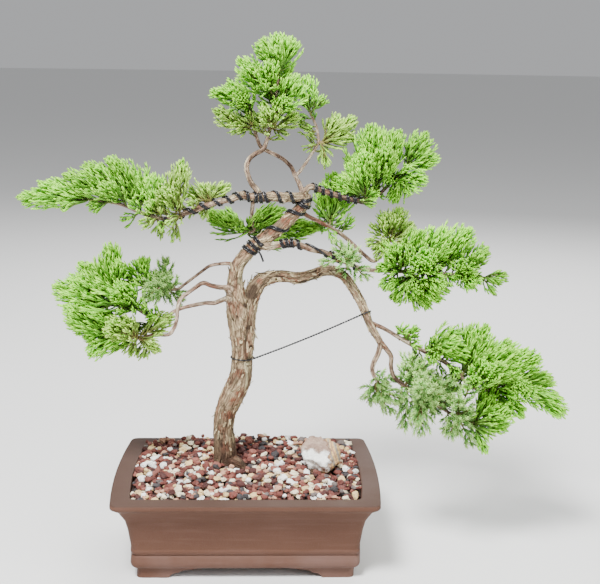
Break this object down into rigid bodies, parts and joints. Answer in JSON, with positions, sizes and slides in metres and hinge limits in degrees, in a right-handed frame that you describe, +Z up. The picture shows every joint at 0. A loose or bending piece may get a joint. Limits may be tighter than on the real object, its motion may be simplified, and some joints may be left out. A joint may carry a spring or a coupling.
{
  "type": "juniper bonsai in a pot",
  "caption": "Japanese garden juniper bonsai with an S-curved trunk, wired branches and feathery foliage pads, planted in a footed rectangular stoneware pot topped with gravel and a rock.",
  "frame": {"origin": "on the surface the pot stands on, under the middle of the tree's whole spread", "axes": "+Z up the tree, +X along the pot's long side towards the lower foliage mass, -Y towards the viewer at the tree's front"},
  "size_m": [0.641, 0.225, 0.621],
  "materials": {
    "stoneware": "unglazed, matt",
    "soil": "crumbly, matt",
    "gravel": "mixed lava grit and pebbles, matt",
    "rock": "rough, matt, with veins",
    "bark": "rough flaking bark",
    "wire": "black anodised, satin",
    "foliage": "green scale leaves, matt"
  },
  "bodies": {
    "root": {"pot": "stoneware", "soil": "soil", "gravel": "gravel", "rock": "rock", "trunk": "bark", "wire_left_branch": "wire", "wire_trunk_top": "wire", "wire_high_branch": "wire", "wire_lower_branch": "wire", "guy_wire": "wire", "spray_apex_top": "foliage", "spray_apex_front": "foliage", "spray_apex_back": "foliage", "spray_apex_left": "foliage", "spray_apex_low_left": "foliage", "spray_apex_right": "foliage", "spray_apex_low_right": "foliage", "spray_crown_plume": "foliage", "spray_crown_fan": "foliage", "spray_high_left": "foliage", "spray_high_middle": "foliage", "spray_high_right": "foliage", "spray_high_tip": "foliage", "spray_back_low": "foliage", "spray_back_right": "foliage", "spray_middle_feather": "foliage", "spray_middle_left": "foliage", "spray_middle_front": "foliage", "spray_middle_back": "foliage", "spray_middle_low": "foliage", "spray_middle_right": "foliage", "spray_middle_tip": "foliage", "spray_middle_inner": "foliage", "spray_low_stray": "foliage", "spray_low_sprig": "foliage", "spray_low_inner": "foliage", "spray_low_front": "foliage", "spray_low_hollow": "foliage", "spray_low_hanging": "foliage", "spray_low_fan": "foliage", "spray_low_top_left": "foliage", "spray_low_top": "foliage", "spray_low_top_right": "foliage", "spray_low_outer": "foliage", "spray_low_tip": "foliage", "spray_left_top": "foliage", "spray_left_top_right": "foliage", "spray_left_crest": "foliage", "spray_left_tip": "foliage", "spray_left_outer": "foliage", "spray_left_low": "foliage", "spray_left_low_right": "foliage", "spray_branch_tip": "foliage", "spray_branch_outer": "foliage", "spray_branch_outer_top": "foliage", "spray_branch_crest": "foliage", "spray_branch_middle": "foliage", "spray_branch_hanging": "foliage", "spray_branch_inner": "foliage", "spray_branch_base": "foliage"}
  },
  "joints": []
}
